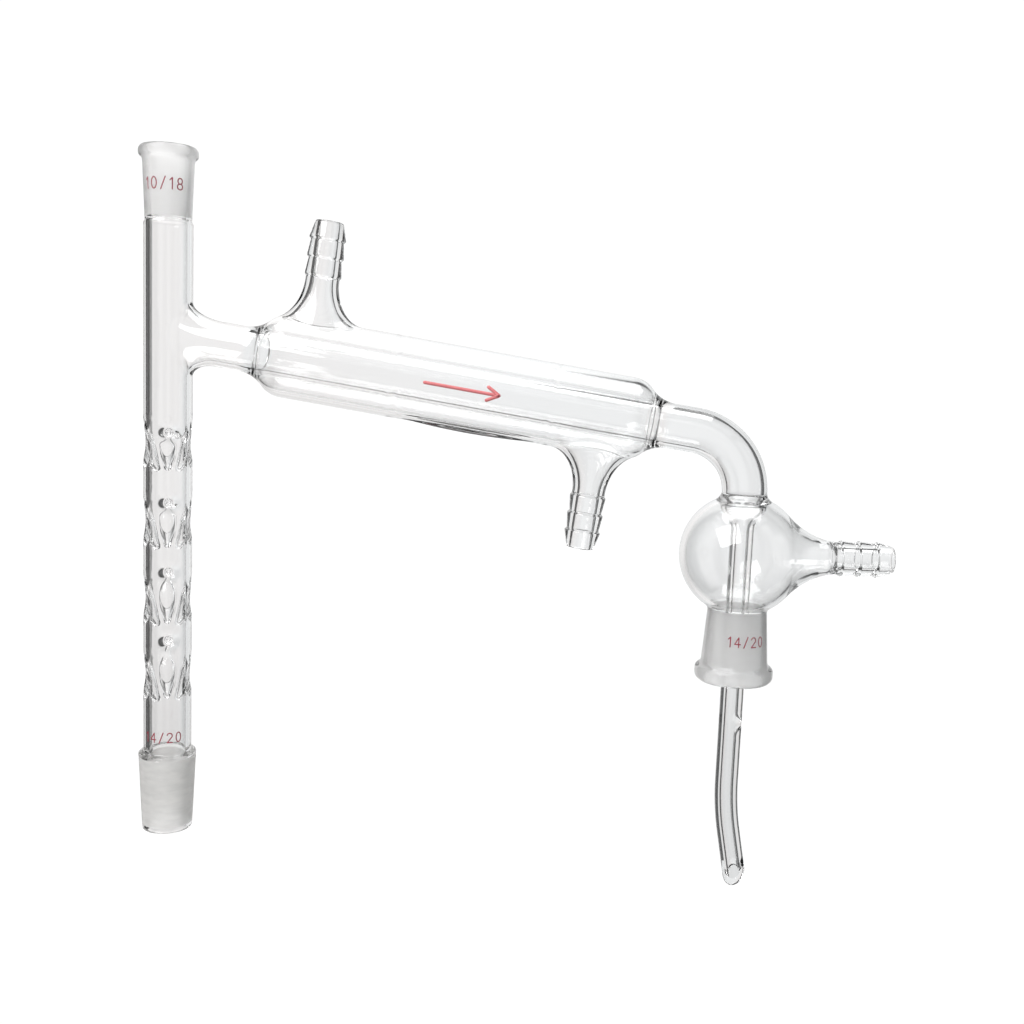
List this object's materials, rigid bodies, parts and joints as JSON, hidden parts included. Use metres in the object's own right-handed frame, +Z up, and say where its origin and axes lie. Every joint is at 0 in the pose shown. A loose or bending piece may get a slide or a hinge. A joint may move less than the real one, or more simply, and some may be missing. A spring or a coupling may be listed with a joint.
{
  "type": "short-path distilling head with liebig condenser",
  "caption": "One-piece glass distilling head: dented column, sloping jacketed condenser and vacuum receiver adapter with a drip tube, carried on tapered ground joints.",
  "frame": {"origin": "centre of the flask cone's large end, the plane where a flask's mouth sits", "axes": "+Z up along the column towards the thermometer socket, +X from the column to the receiver, +Y to the back"},
  "size_m": [0.1927, 0.0312, 0.1836],
  "materials": {
    "clear_glass": "clear, fire-polished",
    "ground_glass": "ground, matt white"
  },
  "bodies": {
    "root": {"flask_cone": "ground_glass", "column_foot_tube": "clear_glass", "vigreux_tube": "clear_glass", "column_head_tube": "clear_glass", "thermometer_socket": "ground_glass", "side_arm": "clear_glass", "upper_ring_seal": "clear_glass", "jacket": "clear_glass", "condenser_tube": "clear_glass", "lower_ring_seal": "clear_glass", "water_outlet_neck": "clear_glass", "water_outlet_barb": "clear_glass", "water_inlet_neck": "clear_glass", "water_inlet_barb": "clear_glass", "clamp_rest": "clear_glass", "elbow": "clear_glass", "bulb_ring_seal": "clear_glass", "vacuum_bulb": "clear_glass", "vacuum_neck": "clear_glass", "vacuum_barb": "clear_glass", "drip_tube": "clear_glass", "receiver_socket": "ground_glass"}
  },
  "joints": []
}
